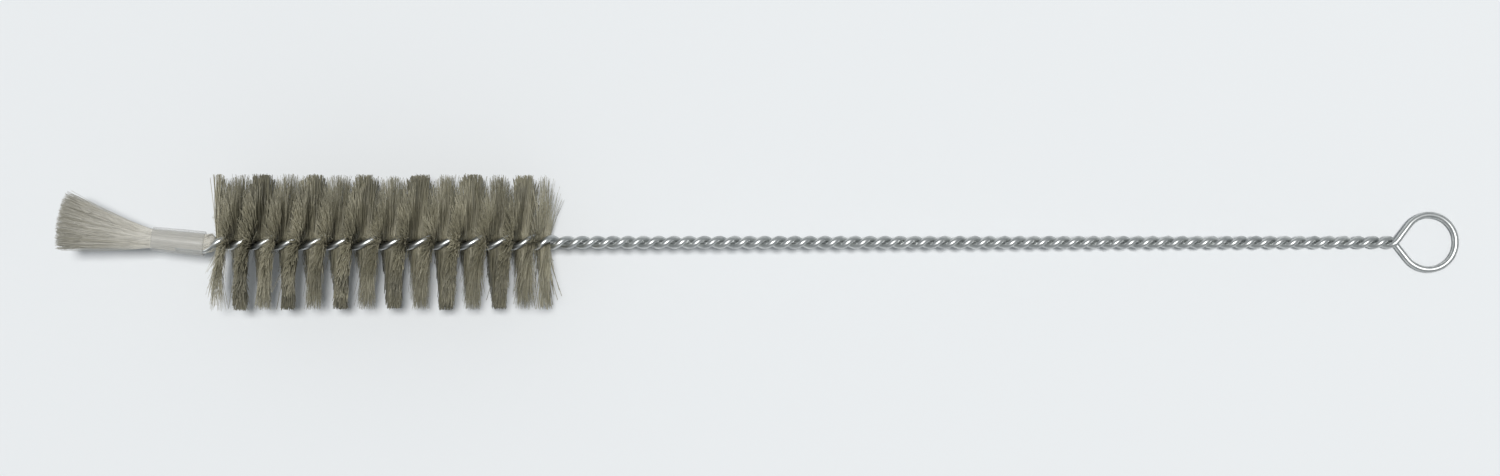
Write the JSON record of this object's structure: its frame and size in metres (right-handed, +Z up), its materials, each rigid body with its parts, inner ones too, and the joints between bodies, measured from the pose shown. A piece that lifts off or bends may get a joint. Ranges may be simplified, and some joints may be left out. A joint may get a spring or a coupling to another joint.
{
  "type": "test tube brush",
  "caption": "Twisted-wire test tube brush: a spiral of stiff bristles on a thin stem, a soft white fibre tuft in a plastic sleeve at the tip and a folded hanging ring at the handle end.",
  "frame": {"origin": "middle of the brush's length and width, on the ground that it lies on", "axes": "+X along the stem toward the hanging ring, +Z up, with the brush lying on its bristles and its ring"},
  "size_m": [0.2582, 0.0249, 0.0279],
  "materials": {
    "galvanised_wire": "bright galvanised",
    "natural_bristle": "natural",
    "sleeve_plastic": "translucent",
    "white_fibre": "soft"
  },
  "bodies": {
    "root": {"twisted_wire": "galvanised_wire", "bristle_spiral": "natural_bristle", "tip_sleeve": "sleeve_plastic", "tip_tuft": "white_fibre"}
  },
  "joints": []
}
